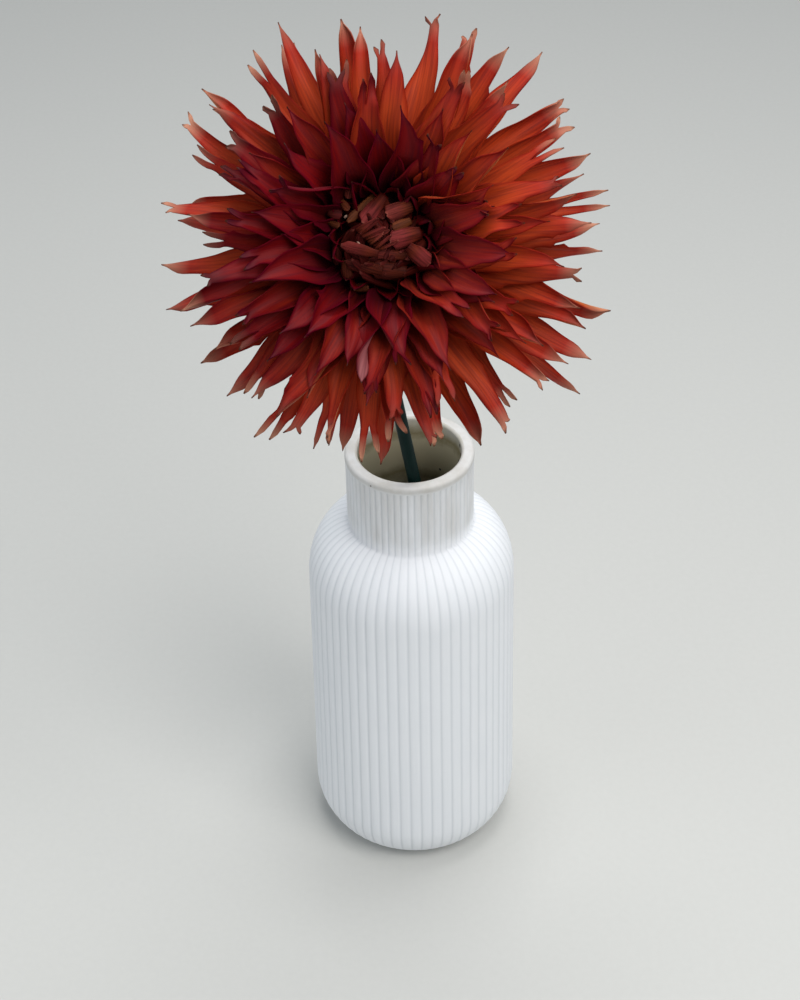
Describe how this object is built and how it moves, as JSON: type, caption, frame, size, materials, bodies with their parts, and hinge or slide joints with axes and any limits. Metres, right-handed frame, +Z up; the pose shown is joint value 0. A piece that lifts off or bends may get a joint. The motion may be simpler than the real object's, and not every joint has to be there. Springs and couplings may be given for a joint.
{
  "type": "cut dahlia in a ribbed bottle vase",
  "caption": "Red-orange cactus dahlia with split ray tips on a bare stem, nodding forward out of a white ceramic bottle vase with fine vertical ribs.",
  "frame": {"origin": "centre of the vase's flat base, on the surface it stands on", "axes": "+Z up along the vase's axis; the flower's face looks towards -Y and up; +X to the right of someone who faces it"},
  "size_m": [0.1709, 0.1801, 0.4529],
  "materials": {
    "vase_ceramic": "matte",
    "water": "gloss",
    "stem_green": "satin",
    "ray_petal": "satin",
    "centre_petal": "satin"
  },
  "bodies": {
    "root": {"vase": "vase_ceramic", "water": "water", "stem": "stem_green", "ray_florets": "ray_petal", "centre_florets": "centre_petal"}
  },
  "joints": []
}
